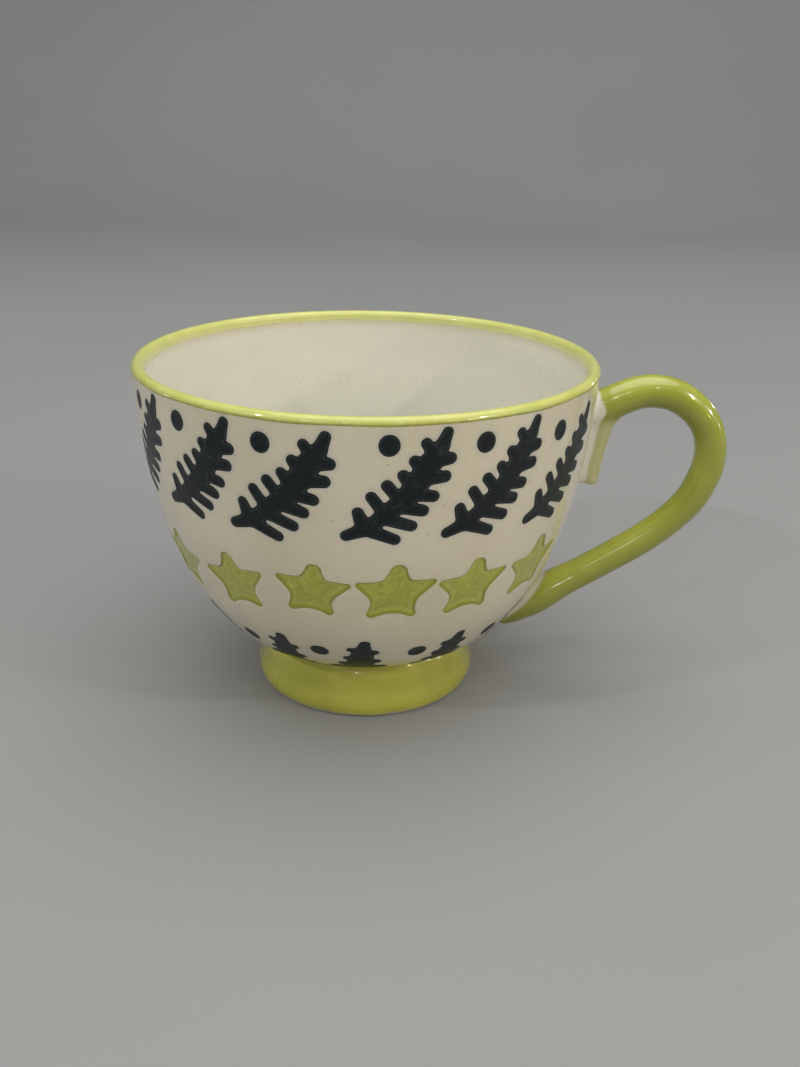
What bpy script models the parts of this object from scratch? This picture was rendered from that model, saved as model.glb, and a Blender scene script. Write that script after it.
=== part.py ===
"""A footed stoneware mug with a pulled loop handle and a pressed, glaze-filled pattern.

The cup stands on Z = 0 with its handle towards +X. The bowl, the foot ring and the handle are turned or swept
pieces luted together with slip. Every leaf, star, dot and sprig is a plug of coloured glaze lying in its own
shallow recess in the bowl's wall. Sizes below are millimetres, and MM turns them into Blender's metres.
"""

import math

import bmesh
import bpy
from mathutils import Vector

MM = 0.001

# Driving sizes
CUP_HEIGHT = 92.0
RIM_RADIUS = 60.0
LIP_THICKNESS = 3.2
AXIS_X = -17.9  # the cup's axis, placed so that the whole mug is centred on the origin
GAP = 0.3  # left between pieces that touch

# How finely the round shapes are divided
WALL_SAMPLES = 160
WALL_ROWS = 8
TURNED_STEPS = 40
WELD_DISTANCE = 0.01
SHARP_ANGLE = math.radians(40)

# The bowl's outer side as (radius, height), from the foot joint up to the lip
BOWL_OUTER = [(31.0, 16.3), (37.5, 20.0), (42.8, 25.8), (48.7, 35.0), (53.1, 46.0),
              (56.2, 57.0), (58.3, 70.0), (59.4, 81.0), (60.0, 89.9)]
BOWL_UNDERSIDE = [(27.6, 13.6), (22.0, 11.8), (12.0, 11.1)]
UNDERSIDE_Z = 11.0
FLOOR_Z = 16.4
BOWL_FLOOR = [(0.0, FLOOR_Z), (10.0, FLOOR_Z + 0.3), (19.0, FLOOR_Z + 1.7)]
WALL_AT_LIP = 3.2
WALL_AT_BASE = 5.0
RIM_GLAZE_THICKNESS = 0.5
RIM_GLAZE_OUTER_Z = 90.2
RIM_GLAZE_INNER_Z = 89.0

# The foot ring's section as (radius, height), down its outer side
FOOT_OUTER = [(30.7, 15.6), (29.8, 13.4), (30.1, 8.0), (30.8, 2.6), (30.4, 0.7), (29.6, 0.0)]
FOOT_INNER = [(26.6, 0.0), (25.8, 0.8), (25.2, 4.0), (24.9, 11.9)]

# The handle's centre line as (radius, height, rod radius), from the bowl's wall at the top to the wall below
ROD_PATH = [(55.5, 80.6, 5.2), (61.0, 81.3, 4.8), (66.0, 82.9, 4.5), (71.0, 84.0, 4.35), (76.5, 84.3, 4.3),
            (82.2, 82.9, 4.3), (87.2, 79.0, 4.3), (90.4, 73.3, 4.25), (91.6, 66.3, 4.2), (90.2, 58.6, 4.2),
            (86.0, 51.9, 4.2), (79.8, 46.4, 4.3), (72.4, 41.0, 4.3), (65.0, 35.6, 4.3), (58.4, 30.9, 4.4),
            (52.6, 27.3, 4.9), (47.4, 24.9, 5.9), (42.0, 23.6, 7.1), (36.0, 24.2, 7.2)]
TAIL_PATH = [(62.8, 80.5, 4.2), (61.9, 75.0, 4.1), (60.9, 69.0, 3.9), (59.6, 63.0, 3.7), (58.6, 58.9, 3.4)]
ROD_SAMPLES = 34
TAIL_SAMPLES = 10
ROD_BEVEL_RESOLUTION = 3
UPPER_SLIP_THICKNESS = 2.7
LOWER_SLIP_THICKNESS = 5.4
SLIP_SPLIT_Z = 50.0
ABOVE_ALL_Z = 120.0
BELOW_ALL_Z = -20.0

# The pressed pattern. Angles are degrees about the cup's axis, counted from the handle.
RECESS_DEPTH = 1.1
GLAZE_TOP = -0.1
GLAZE_BOTTOM = -0.75
GLAZE_INSET = 0.3
CUTTER_TOP = 1.4
STRIP_WIDTH = 13.0
PLATE_WELD_DISTANCE = 0.0001
BLUNTEST_BISECTOR = 0.6  # keeps an inset from running away at a sharp corner
# Each stamp was placed by eye, so the steps are uneven, and every row leaves room for the handle.
LEAF_ANGLES = [-35.0, -58.0, -80.5, -106.0, -128.0, -152.0, -175.5, -199.0, -222.0, -245.5, -268.5,
               -292.0, -315.0]
LEAF_Z = 76.5
DOT_SHIFT, DOT_Z, DOT_RADIUS, DOT_SIDES = -1.5, 85.5, 2.4, 6
STAR_ANGLES = [-36.0, -58.0, -78.5, -98.5, -122.5, -146.0, -168.0, -190.5,
               -213.0, -235.5, -258.0, -280.5, -303.0, -325.0]
STAR_Z = 48.5
SPRIG_ANGLES = [-25.0, -55.0, -86.0, -114.0, -144.0, -174.0, -204.0, -234.0, -264.0, -294.0, -324.0]
SPRIG_Z = 26.0

# A leaf leans right. Round its edge, lobes as (across, up, end radius) take turns with the notches between.
LEAF_LOBES = [(-9.8, -11.9, 1.4), (1.0, -12.8, 1.3), (4.3, -9.5, 1.35), (6.7, -5.8, 1.4), (9.0, -2.3, 1.3),
              (11.3, 2.3, 1.4), (12.3, 6.6, 1.4), (11.3, 12.4, 1.3), (6.8, 10.2, 1.2), (4.3, 6.3, 1.2),
              (2.0, 3.0, 1.2), (-1.4, 0.8, 1.2), (-4.9, -1.9, 1.1), (-7.6, -5.8, 1.1)]
LEAF_NOTCHES = [(-5.6, -12.1), (-2.0, -9.6), (1.4, -6.7), (4.9, -3.8), (7.4, -0.4), (10.1, 4.2), (11.9, 8.7),
                (8.9, 10.2), (5.8, 7.4), (3.8, 3.6), (1.4, -0.4), (-1.3, -3.8), (-4.9, -6.7), (-8.1, -9.3)]
STAR_LOBES = [(0.0, 7.4, 1.1), (-8.4, 2.9, 0.9), (-4.9, -7.2, 0.9), (4.3, -7.2, 0.9), (8.3, 2.5, 0.9)]
STAR_NOTCHES = [(-3.3, 4.0), (-5.6, -1.7), (-0.2, -5.6), (4.9, -1.6), (3.3, 3.9)]
SPRIG_LOBES = [(-0.2, 6.9, 1.5), (-3.7, 3.6, 1.1), (-5.0, -0.9, 1.0), (-6.0, -4.9, 1.0),
               (5.0, -4.9, 1.0), (3.9, -2.0, 1.1), (3.0, 2.6, 1.1)]
SPRIG_NOTCHES = [(-1.9, 4.5), (-3.7, 0.6), (-4.5, -3.0), (-0.2, -5.6), (3.2, -3.6), (2.4, 0.4), (1.8, 4.4)]

CREAM = ((0.72, 0.68, 0.58), 0.18)
LIME = ((0.50, 0.56, 0.09), 0.15)
CHARCOAL = ((0.022, 0.032, 0.036), 0.4)
STAR_GREEN = ((0.40, 0.43, 0.10), 0.25)


def clear_scene():
    for obj in list(bpy.data.objects):
        bpy.data.objects.remove(obj, do_unlink=True)


def make_collection(name):
    collection = bpy.data.collections.new(name)
    bpy.context.scene.collection.children.link(collection)
    return collection


def make_material(name, look):
    color, roughness = look
    material = bpy.data.materials.new(name)
    material.use_nodes = True
    shader = material.node_tree.nodes["Principled BSDF"]
    shader.inputs["Base Color"].default_value = (*color, 1.0)
    shader.inputs["Roughness"].default_value = roughness
    shader.inputs["Metallic"].default_value = 0.0
    return material


def smooth_curve(points, samples):
    """Evenly numbered samples of a Catmull-Rom curve through the points."""
    padded = [points[0], *points, points[-1]]
    found = []
    for step in range(samples + 1):
        along = step / samples * (len(points) - 1)
        first = min(int(along), len(points) - 2)
        t = along - first
        a, b, c, d = padded[first:first + 4]
        found.append(tuple(
            (2 * q + (r - p) * t + (2 * p - 5 * q + 4 * r - s) * t * t + (3 * q - p - 3 * r + s) * t ** 3) / 2
            for p, q, r, s in zip(a, b, c, d)))
    return found


def profile_lengths(profile):
    lengths = [0.0]
    for (r0, z0), (r1, z1) in zip(profile, profile[1:]):
        lengths.append(lengths[-1] + math.hypot(r1 - r0, z1 - z0))
    return lengths


WALL = smooth_curve(BOWL_OUTER, WALL_SAMPLES)
WALL_LENGTHS = profile_lengths(WALL)


def wall_at(length):
    """The wall's point and its outward normal, each as (radius, height), at a length along the profile."""
    index = 0
    while index < len(WALL) - 2 and WALL_LENGTHS[index + 1] < length:
        index += 1
    (r0, z0), (r1, z1) = WALL[index], WALL[index + 1]
    span = WALL_LENGTHS[index + 1] - WALL_LENGTHS[index]
    t = (length - WALL_LENGTHS[index]) / span
    return (r0 + (r1 - r0) * t, z0 + (z1 - z0) * t), ((z1 - z0) / span, (r0 - r1) / span)


def wall_length_at(height):
    for index, (_, z) in enumerate(WALL):
        if z >= height:
            return WALL_LENGTHS[index]
    return WALL_LENGTHS[-1]


def offset_wall(distance_at, samples):
    """The outer profile moved along its normal by distance_at(fraction of the way up)."""
    moved = []
    for step in range(samples + 1):
        fraction = step / samples
        (r, z), (nr, nz) = wall_at(fraction * WALL_LENGTHS[-1])
        shift = distance_at(fraction)
        moved.append((r + nr * shift, z + nz * shift))
    return moved


def lip_arc(sides, radius, start, end):
    """The rounded lip, as an arc from start to end degrees about the middle of the wall's top edge."""
    centre_r = RIM_RADIUS - LIP_THICKNESS / 2
    centre_z = CUP_HEIGHT - LIP_THICKNESS / 2
    arc = []
    for step in range(sides + 1):
        angle = math.radians(start + (end - start) * step / sides)
        arc.append((centre_r + radius * math.cos(angle), centre_z + radius * math.sin(angle)))
    return arc


def link(mesh, name, material, collection):
    obj = bpy.data.objects.new(name, mesh)
    collection.objects.link(obj)
    if material:
        mesh.materials.append(material)
        mesh.shade_smooth()
        mesh.set_sharp_from_angle(angle=SHARP_ANGLE)
    return obj


def turned(name, profile, closed, material, collection, steps=TURNED_STEPS):
    """A body turned about the cup's axis from a section that runs down its outer side."""
    mesh = bpy.data.meshes.new(name)
    count = len(profile)
    edges = [(index, index + 1) for index in range(count - 1)]
    if closed:
        edges.append((count - 1, 0))
    mesh.from_pydata([(r * MM, 0.0, z * MM) for r, z in profile], edges, [])
    obj = link(mesh, name, None, collection)
    obj.location.x = AXIS_X * MM
    screw = obj.modifiers.new("Turn", "SCREW")
    screw.steps = screw.render_steps = steps
    screw.use_merge_vertices = True
    screw.merge_threshold = WELD_DISTANCE * MM
    made = mesh_of(obj, name + "_turned")
    bpy.data.objects.remove(obj)
    bpy.data.meshes.remove(mesh)
    return link(made, name, material, collection)


def mesh_of(obj, name):
    """The object's evaluated shape as a welded mesh in world space."""
    bpy.context.view_layer.update()
    graph = bpy.context.evaluated_depsgraph_get()
    mesh = bpy.data.meshes.new_from_object(obj.evaluated_get(graph), depsgraph=graph)
    mesh.name = name
    mesh.transform(obj.matrix_world)
    body = bmesh.new()
    body.from_mesh(mesh)
    bmesh.ops.remove_doubles(body, verts=body.verts, dist=WELD_DISTANCE * MM)
    bmesh.ops.recalc_face_normals(body, faces=body.faces)
    body.to_mesh(mesh)
    body.free()
    return mesh


def boolean(obj, other, operation):
    modifier = obj.modifiers.new(operation.title() + "_" + other.name, "BOOLEAN")
    modifier.operation = operation
    modifier.object = other
    modifier.solver = "EXACT"


def hide_helper(obj):
    obj.hide_render = True
    obj.display_type = "WIRE"


def swept(name, path, samples, collection, material=None):
    """A rod along a path of (radius, height, rod radius) in the handle's plane."""
    curve = bpy.data.curves.new(name, "CURVE")
    curve.dimensions = "3D"
    curve.bevel_depth = MM
    curve.bevel_resolution = ROD_BEVEL_RESOLUTION
    curve.use_fill_caps = True
    points = smooth_curve(path, samples)
    spline = curve.splines.new("POLY")
    spline.points.add(len(points) - 1)
    for point, (r, z, rod) in zip(spline.points, points):
        point.co = ((AXIS_X + r) * MM, 0.0, z * MM, 1.0)
        point.radius = rod
    guide = bpy.data.objects.new(name, curve)
    collection.objects.link(guide)
    mesh = mesh_of(guide, name + "_swept")
    bpy.data.objects.remove(guide)
    bpy.data.curves.remove(curve)
    return link(mesh, name, material, collection)


def lobed_outline(lobes, notches):
    """An outline of round-ended lobes with a notch after each one."""
    outline = []
    for index, (across, up, end_radius) in enumerate(lobes):
        before, after = Vector(notches[index - 1]), Vector(notches[index])
        tip = Vector((across, up))
        heading = (tip - (before + after) / 2).normalized()
        outline.append(tip + heading * end_radius)
        outline.append(after)
    return outline


def round_outline(radius, sides):
    turns = [2 * math.pi * step / sides for step in range(sides)]
    return [Vector((radius * math.cos(turn), radius * math.sin(turn))) for turn in turns]


def inset_outline(outline, distance):
    """The outline moved inwards, each corner along its bisector."""
    area = sum(a.x * b.y - a.y * b.x for a, b in zip(outline, outline[1:] + outline[:1]))
    turn = 1 if area > 0 else -1
    moved = []
    for index, point in enumerate(outline):
        before = (point - outline[index - 1]).normalized()
        after = (outline[(index + 1) % len(outline)] - point).normalized()
        normal_before = Vector((-before.y, before.x)) * turn
        normal_after = Vector((-after.y, after.x)) * turn
        bisector = (normal_before + normal_after).normalized()
        moved.append(point + bisector * (distance / max(bisector.dot(normal_before), BLUNTEST_BISECTOR)))
    return moved


def plate_mesh(name, outline, low, high):
    """A flat plate of the outline, from low to high, cut into strips so that it can bend round the wall."""
    curve = bpy.data.curves.new(name, "CURVE")
    curve.dimensions = "2D"
    curve.fill_mode = "BOTH"
    curve.extrude = (high - low) / 2
    spline = curve.splines.new("POLY")
    spline.points.add(len(outline) - 1)
    for point, corner in zip(spline.points, outline):
        point.co = (corner.x, corner.y, 0.0, 1.0)
    spline.use_cyclic_u = True
    guide = bpy.data.objects.new(name, curve)
    bpy.context.scene.collection.objects.link(guide)
    bpy.context.view_layer.update()
    graph = bpy.context.evaluated_depsgraph_get()
    mesh = bpy.data.meshes.new_from_object(guide.evaluated_get(graph), depsgraph=graph)
    bpy.data.objects.remove(guide)
    bpy.data.curves.remove(curve)
    body = bmesh.new()
    body.from_mesh(mesh)
    bmesh.ops.remove_doubles(body, verts=body.verts, dist=PLATE_WELD_DISTANCE)
    bmesh.ops.translate(body, verts=body.verts, vec=(0, 0, (high + low) / 2))
    widest = max(abs(corner.x) for corner in outline)
    cuts = int(widest // STRIP_WIDTH)
    for cut in range(-cuts, cuts + 1):
        whole = body.verts[:] + body.edges[:] + body.faces[:]
        bmesh.ops.bisect_plane(body, geom=whole, plane_co=(cut * STRIP_WIDTH, 0, 0), plane_no=(1, 0, 0))
    bmesh.ops.triangulate(body, faces=body.faces)
    bmesh.ops.recalc_face_normals(body, faces=body.faces)
    body.to_mesh(mesh)
    body.free()
    return mesh


def wrap_on_wall(mesh, angle, height):
    """Bends a flat plate of millimetres onto the bowl's wall, centred at an angle and a height."""
    middle = wall_length_at(height)
    for vertex in mesh.vertices:
        across, up, out = vertex.co
        (r, z), (nr, nz) = wall_at(middle + up)
        turn = math.radians(angle) + across / r
        reach = r + nr * out
        place = Vector((AXIS_X + reach * math.cos(turn), reach * math.sin(turn), z + nz * out))
        vertex.co = place * MM
    body = bmesh.new()
    body.from_mesh(mesh)
    bmesh.ops.recalc_face_normals(body, faces=body.faces)
    body.to_mesh(mesh)
    body.free()
    return mesh


def press_motif(name, outline, angle, height, material, collection, recesses):
    """The glaze plug of one motif, and the recess that it lies in."""
    plug = plate_mesh(name, inset_outline(outline, GLAZE_INSET), GLAZE_BOTTOM, GLAZE_TOP)
    link(wrap_on_wall(plug, angle, height), name, material, collection)
    recess = plate_mesh(name + "_recess", outline, -RECESS_DEPTH, CUTTER_TOP)
    recesses.append(wrap_on_wall(recess, angle, height))


def joined_cutter(name, meshes, collection):
    body = bmesh.new()
    for mesh in meshes:
        body.from_mesh(mesh)
    whole = bpy.data.meshes.new(name)
    body.to_mesh(whole)
    body.free()
    for mesh in meshes:
        bpy.data.meshes.remove(mesh)
    cutter = link(whole, name, None, collection)
    hide_helper(cutter)
    return cutter


def build_bowl(material, collection):
    """The open bowl: down the outer side from the lip, in under the base, and back up the inside."""
    outer = offset_wall(lambda fraction: 0.0, WALL_ROWS)
    inner = offset_wall(lambda fraction: -WALL_AT_BASE + (WALL_AT_BASE - WALL_AT_LIP) * fraction, WALL_ROWS)[1:]
    inner[-1] = (RIM_RADIUS - LIP_THICKNESS, RIM_GLAZE_INNER_Z - GAP)
    neck = lip_arc(4, LIP_THICKNESS / 2 - RIM_GLAZE_THICKNESS - GAP, 180, 0)
    section = BOWL_FLOOR + inner + [(neck[0][0], inner[-1][1])] + neck
    section += [(neck[-1][0], outer[-1][1])] + outer[::-1] + BOWL_UNDERSIDE + [(0.0, UNDERSIDE_Z)]
    return turned("bowl", section, False, material, collection)


def build_foot_ring(material, collection):
    bowl_edge_r, bowl_edge_z = BOWL_UNDERSIDE[0]
    section = FOOT_OUTER + FOOT_INNER + [(bowl_edge_r, bowl_edge_z - GAP)]
    return turned("foot_ring", section, True, material, collection)


def build_rim_glaze(material, collection):
    """The green band: a thin coat over the lip that stops a little way down each side."""
    outside = lip_arc(6, LIP_THICKNESS / 2, 180, 0)
    inside = lip_arc(4, LIP_THICKNESS / 2 - RIM_GLAZE_THICKNESS, 0, 180)
    section = [(outside[0][0], RIM_GLAZE_INNER_Z)] + outside + [(outside[-1][0], RIM_GLAZE_OUTER_Z)]
    section += [(inside[0][0], RIM_GLAZE_OUTER_Z)] + inside + [(inside[-1][0], RIM_GLAZE_INNER_Z)]
    return turned("rim_glaze", section, True, material, collection)


def grown_bowl(name, distance, collection):
    """A plain solid of the bowl's outer shape, grown outwards by a distance."""
    side = offset_wall(lambda fraction: distance, WALL_ROWS)[::-1]
    section = [(0.0, ABOVE_ALL_Z), (side[0][0], ABOVE_ALL_Z)] + side + [(0.0, side[-1][1])]
    solid = turned(name, section, False, None, collection)
    hide_helper(solid)
    return solid


def slab(name, low_z, high_z, collection):
    """A box wider than the mug, between two heights."""
    bpy.ops.mesh.primitive_cube_add(size=1.0, location=(0, 0, (low_z + high_z) / 2 * MM))
    box = bpy.context.active_object
    box.name = name
    box.scale = (6 * RIM_RADIUS * MM, 6 * RIM_RADIUS * MM, (high_z - low_z) * MM)
    bpy.ops.object.transform_apply(location=False, rotation=False, scale=True)
    for owner in box.users_collection:
        owner.objects.unlink(box)
    collection.objects.link(box)
    hide_helper(box)
    return box


def build_handle(lime, cream, collection, helpers):
    """The rod and its pressed-down tail, and the slip that joins them to the wall above and below."""
    tail = swept("tail_blank", TAIL_PATH, TAIL_SAMPLES, helpers)
    hide_helper(tail)
    wall_face = grown_bowl("wall_clearance", GAP, helpers)
    upper_face = grown_bowl("upper_slip_face", UPPER_SLIP_THICKNESS, helpers)
    upper_gap = grown_bowl("upper_slip_gap", UPPER_SLIP_THICKNESS + GAP, helpers)
    lower_face = grown_bowl("lower_slip_face", LOWER_SLIP_THICKNESS, helpers)
    lower_gap = grown_bowl("lower_slip_gap", LOWER_SLIP_THICKNESS + GAP, helpers)
    above = slab("upper_half", SLIP_SPLIT_Z, ABOVE_ALL_Z, helpers)
    below = slab("lower_half", BELOW_ALL_Z, SLIP_SPLIT_Z, helpers)
    for gap, half in ((upper_gap, above), (lower_gap, below)):
        boolean(gap, half, "INTERSECT")
    handle = swept("handle", ROD_PATH, ROD_SAMPLES, collection, lime)
    boolean(handle, tail, "UNION")
    boolean(handle, upper_gap, "DIFFERENCE")
    boolean(handle, lower_gap, "DIFFERENCE")
    joints = [("upper_slip_joint", upper_face, above), ("lower_slip_joint", lower_face, below)]
    for name, face, half in joints:
        slip = swept(name, ROD_PATH, ROD_SAMPLES, collection, cream)
        boolean(slip, tail, "UNION")
        boolean(slip, face, "INTERSECT")
        boolean(slip, half, "INTERSECT")
        boolean(slip, wall_face, "DIFFERENCE")


def build_pattern(charcoal, star_green, collection):
    recesses = []
    leaf = lobed_outline(LEAF_LOBES, LEAF_NOTCHES)
    dot = round_outline(DOT_RADIUS, DOT_SIDES)
    star = lobed_outline(STAR_LOBES, STAR_NOTCHES)
    sprig = lobed_outline(SPRIG_LOBES, SPRIG_NOTCHES)
    dot_angles = [angle + DOT_SHIFT for angle in LEAF_ANGLES]
    rows = [("leaf", leaf, LEAF_ANGLES, LEAF_Z, charcoal),
            ("dot", dot, dot_angles, DOT_Z, charcoal),
            ("star", star, STAR_ANGLES, STAR_Z, star_green),
            ("sprig", sprig, SPRIG_ANGLES, SPRIG_Z, charcoal)]
    for kind, outline, angles, height, material in rows:
        for number, angle in enumerate(angles, start=1):
            press_motif(f"{kind}_{number:02d}", outline, angle, height, material, collection, recesses)
    return recesses


def main():
    clear_scene()
    parts = make_collection("stoneware_mug")
    helpers = make_collection("helpers")
    cream = make_material("cream_glaze", CREAM)
    lime = make_material("lime_glaze", LIME)
    charcoal = make_material("charcoal_glaze", CHARCOAL)
    star_green = make_material("star_glaze", STAR_GREEN)
    bowl = build_bowl(cream, parts)
    build_foot_ring(lime, parts)
    build_rim_glaze(lime, parts)
    build_handle(lime, cream, parts, helpers)
    recesses = build_pattern(charcoal, star_green, parts)
    boolean(bowl, joined_cutter("pattern_recesses", recesses, helpers), "DIFFERENCE")


main()
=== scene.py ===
"""Looks of the footed stoneware mug: glazed clay surfaces and inlaid glaze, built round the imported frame.

Sizes are millimetres unless a name says otherwise, and MM turns them into Blender's metres. Around the cup, angles
are degrees counted from the handle, and a length "up" is measured along the wall's outline from the foot joint.
"""

import math

import bpy
import numpy as np
from mathutils import Matrix, Vector


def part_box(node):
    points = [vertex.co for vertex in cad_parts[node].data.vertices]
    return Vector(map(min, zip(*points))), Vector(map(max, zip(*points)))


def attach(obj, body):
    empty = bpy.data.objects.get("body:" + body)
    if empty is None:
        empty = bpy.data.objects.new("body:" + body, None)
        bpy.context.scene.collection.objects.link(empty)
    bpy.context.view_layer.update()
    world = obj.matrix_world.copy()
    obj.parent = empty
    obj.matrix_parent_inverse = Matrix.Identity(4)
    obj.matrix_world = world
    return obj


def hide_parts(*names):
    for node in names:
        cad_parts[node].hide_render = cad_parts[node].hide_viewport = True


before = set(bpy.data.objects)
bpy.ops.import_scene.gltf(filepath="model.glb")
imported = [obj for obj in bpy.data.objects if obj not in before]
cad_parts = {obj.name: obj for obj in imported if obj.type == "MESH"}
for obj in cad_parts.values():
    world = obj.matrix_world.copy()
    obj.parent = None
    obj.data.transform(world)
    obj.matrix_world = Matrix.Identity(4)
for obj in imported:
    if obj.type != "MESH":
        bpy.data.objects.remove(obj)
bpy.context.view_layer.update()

MM = 0.001

# What the frame says
BOWL_LOW, BOWL_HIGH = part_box("bowl")
RIM_LOW, RIM_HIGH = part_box("rim_glaze")
AXIS_X = (BOWL_LOW.x + BOWL_HIGH.x) / 2 / MM
RIM_RADIUS = (RIM_HIGH.x - RIM_LOW.x) / 2 / MM
CUP_HEIGHT = RIM_HIGH.z / MM

# The clay body. Outlines are (radius, height), as in the part's own source.
LIP_RADIUS = 1.6
LIP_GLAZE = 0.12
CLAY_LIP_RADIUS = LIP_RADIUS - LIP_GLAZE
LIP_CENTRE = (RIM_RADIUS - LIP_RADIUS, CUP_HEIGHT - LIP_RADIUS)
BOWL_OUTER = [(28.9, 15.2), (31.0, 16.3), (37.5, 20.0), (42.8, 25.8), (48.7, 35.0), (53.1, 46.0), (56.2, 57.0),
              (58.3, 70.0), (59.4, 81.0), (RIM_RADIUS - LIP_GLAZE, LIP_CENTRE[1])]
WALL_AT_LIP = 2 * CLAY_LIP_RADIUS
WALL_AT_BASE = 5.0
BOWL_FLOOR = [(0.0, 16.4), (8.0, 16.55), (18.0, 17.9), (28.0, 21.3)]
UNDERSIDE = [(28.5, 14.8), (27.6, 14.1), (25.5, 13.0), (18.0, 11.6), (9.0, 11.05), (0.0, 11.0)]
WALL_COLUMNS = 576
WALL_ROWS = 138
INNER_EVERY = 4  # the plain surfaces keep one column of the wall's in four
INNER_ROWS = 44
WALL_OVAL = 0.04  # how far the wall is out of round
INSIDE_FROM, DEEP_SHADE_FROM = (90.0, 86.0), (80.0, 42.0)  # heights where the inside whitens, then where painted shade darkens it deeper in the cup

# The pressed pattern
RECESS_SHOULDER = 0.05
SHOULDER_WIDTH = 0.9
RECESS_DEPTH = 0.85
RECESS_RAMP = 0.5
INLAY_CELL = 0.3
INLAY_BOTTOM = -0.75
HALO_REACH = 0.55  # how far the charcoal's grey bleeds into the cream
BEAD_HEIGHT, DISH_DEPTH = 0.05, 0.05
BRUSH_WIDTHS, BRUSH_DEPTH = (0.75, 1.1, 1.9), 0.011
STAR_SUNK, STAR_PITS = 0.4, 0.022
LEAST_SHARE = 0.12  # keeps cuts off the corners, where they leave slivers

# A motif is a union of tapered strokes, each (across, up, radius) at its start and at its end.
LEAF_SPINE = [(-3.6, -8.4, 1.9), (0.0, -5.1, 2.1), (3.2, -2.0, 2.4), (5.6, 1.7, 2.65), (7.9, 5.8, 2.6),
              (10.2, 9.4, 1.7), (11.3, 12.4, 1.3)]
LEAF_LOBES = [((-4.6, -9.6, 2.0), (-9.8, -11.9, 1.35)), ((-5.0, -10.3, 1.7), (0.9, -12.75, 1.35)),
              ((-1.6, -7.4, 1.6), (4.4, -9.35, 1.4)), ((2.2, -4.6, 1.7), (6.75, -5.65, 1.45)),
              ((4.4, -1.5, 1.7), (8.95, -2.25, 1.4)), ((6.8, 2.0, 1.7), (11.3, 2.35, 1.45)),
              ((8.6, 6.2, 1.9), (12.3, 6.5, 1.45)), ((8.6, 7.6, 1.5), (6.75, 10.1, 1.3)),
              ((6.2, 3.8, 1.5), (4.4, 6.2, 1.35)), ((3.8, 0.5, 1.5), (2.0, 3.0, 1.3)),
              ((1.5, -2.8, 1.4), (-1.35, 0.6, 1.35)), ((-2.0, -5.8, 1.4), (-4.65, -2.1, 1.3)),
              ((-6.2, -9.2, 1.8), (-7.45, -5.95, 1.3))]
SPRIG_SPINE = [(-1.6, -7.2, 3.7), (-1.4, -5.0, 3.6), (-1.2, -2.6, 3.3), (-0.9, 1.0, 2.9), (-0.7, 3.6, 2.1),
               (-0.25, 7.0, 1.4)]
SPRIG_LOBES = [((-1.0, 3.0, 1.2), (-3.75, 3.9, 1.05)), ((0.4, 2.2, 1.2), (2.2, 2.5, 1.15)),
               ((-1.5, -1.0, 1.2), (-4.6, -0.9, 1.05)), ((0.8, -2.7, 1.3), (2.7, -2.8, 1.2)),
               ((-2.0, -4.8, 1.3), (-5.9, -4.7, 1.1)), ((0.8, -7.4, 1.3), (4.2, -7.6, 1.2)),
               ((-2.0, -8.0, 1.3), (-7.9, -7.7, 1.15))]
STROKE_BLEND = 0.55
STAR_ARMS = [((-0.5, -0.7, 5.25), (0.0, 6.55, 2.05)), ((-0.5, -0.7, 5.25), (8.35, 3.0, 0.9)),
             ((-0.5, -0.7, 5.25), (3.9, -6.55, 1.2)), ((-0.5, -0.7, 5.25), (-5.35, -6.55, 1.3)),
             ((-0.5, -0.7, 5.25), (-8.7, 2.6, 1.0))]
STAR_BLEND = 0.9
STAR_SLOPE = 0.55  # how far up the star's sunk face lies from its outline
DOT_RADIUS = 2.4
FAR = 99.0

# Where each stamp was pressed: (angle, height, lean, size). The potter placed them by eye.
LEAVES = [(-35.0, 74.5, -3.5, 1.0), (-58.0, 76.0, -1.0, 1.0), (-80.5, 76.25, -1.0, 1.0), (-106.2, 75.8, -3.5, 1.02),
          (-128.3, 76.3, -2.0, 1.0), (-152.0, 76.1, 0.0, 1.0), (-175.5, 75.9, -1.0, 1.0), (-199.0, 76.3, -2.0, 1.0),
          (-222.0, 75.8, 1.5, 1.0), (-245.5, 76.4, 0.0, 1.0), (-268.5, 76.0, -2.0, 1.0), (-292.0, 76.3, 0.5, 1.0),
          (-315.0, 75.6, -1.5, 1.0)]
DOTS = [(-38.0, 83.8, 0.0, 1.0), (-60.5, 85.2, 0.0, 1.0), (-81.5, 86.0, 0.0, 1.0), (-108.5, 85.1, 0.0, 1.0),
        (-131.5, 85.7, 0.0, 1.0), (-152.5, 85.5, 0.0, 0.97), (-177.5, 85.3, 0.0, 1.0), (-200.0, 85.8, 0.0, 1.0),
        (-223.5, 85.2, 0.0, 0.98), (-246.5, 85.7, 0.0, 1.0), (-270.5, 85.4, 0.0, 1.0), (-293.0, 85.8, 0.0, 1.02),
        (-316.5, 85.1, 0.0, 1.0)]
STARS = [(-36.0, 47.9, 0.0, 1.0), (-58.0, 47.8, 0.0, 0.98), (-78.5, 48.5, -1.0, 1.0), (-99.0, 48.75, -5.0, 0.94),
         (-121.2, 46.9, 9.0, 0.98), (-145.0, 46.0, -3.0, 1.0), (-168.0, 47.6, 2.0, 1.0), (-190.5, 48.6, -6.0, 0.97),
         (-213.0, 48.2, 4.0, 1.0), (-235.5, 48.9, 0.0, 1.0), (-258.0, 48.1, -3.0, 0.96), (-280.5, 48.6, 5.0, 1.0),
         (-303.0, 48.0, -2.0, 1.0), (-325.0, 48.4, 3.0, 1.0)]
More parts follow.
